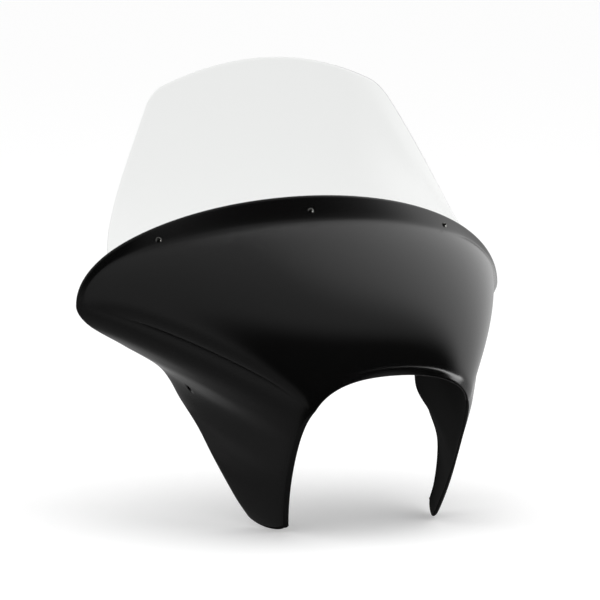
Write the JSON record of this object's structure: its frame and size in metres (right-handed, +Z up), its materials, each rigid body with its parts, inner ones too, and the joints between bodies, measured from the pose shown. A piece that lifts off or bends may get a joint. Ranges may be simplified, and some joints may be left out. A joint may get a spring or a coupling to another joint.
{
  "type": "batwing fairing",
  "caption": "Motorcycle batwing fairing: a formed black shell with two legs round a headlight gap, and a clear windscreen screwed behind its top band.",
  "frame": {"origin": "midway between the two mounting holes of the side panels, on their common axis", "axes": "+X across to the right as seen from the front, +Y to the rear (the headlight gap faces -Y), +Z up as mounted"},
  "size_m": [0.5648, 0.3594, 0.5371],
  "materials": {
    "shell": "gloss black formed ABS",
    "screen": "clear acrylic sheet, polished",
    "screws": "black oxide steel",
    "well_nuts": "moulded black rubber"
  },
  "bodies": {
    "root": {"fairing_shell": "shell", "windscreen": "screen", "screen_screws": "screws", "screen_well_nuts": "well_nuts"}
  },
  "joints": []
}
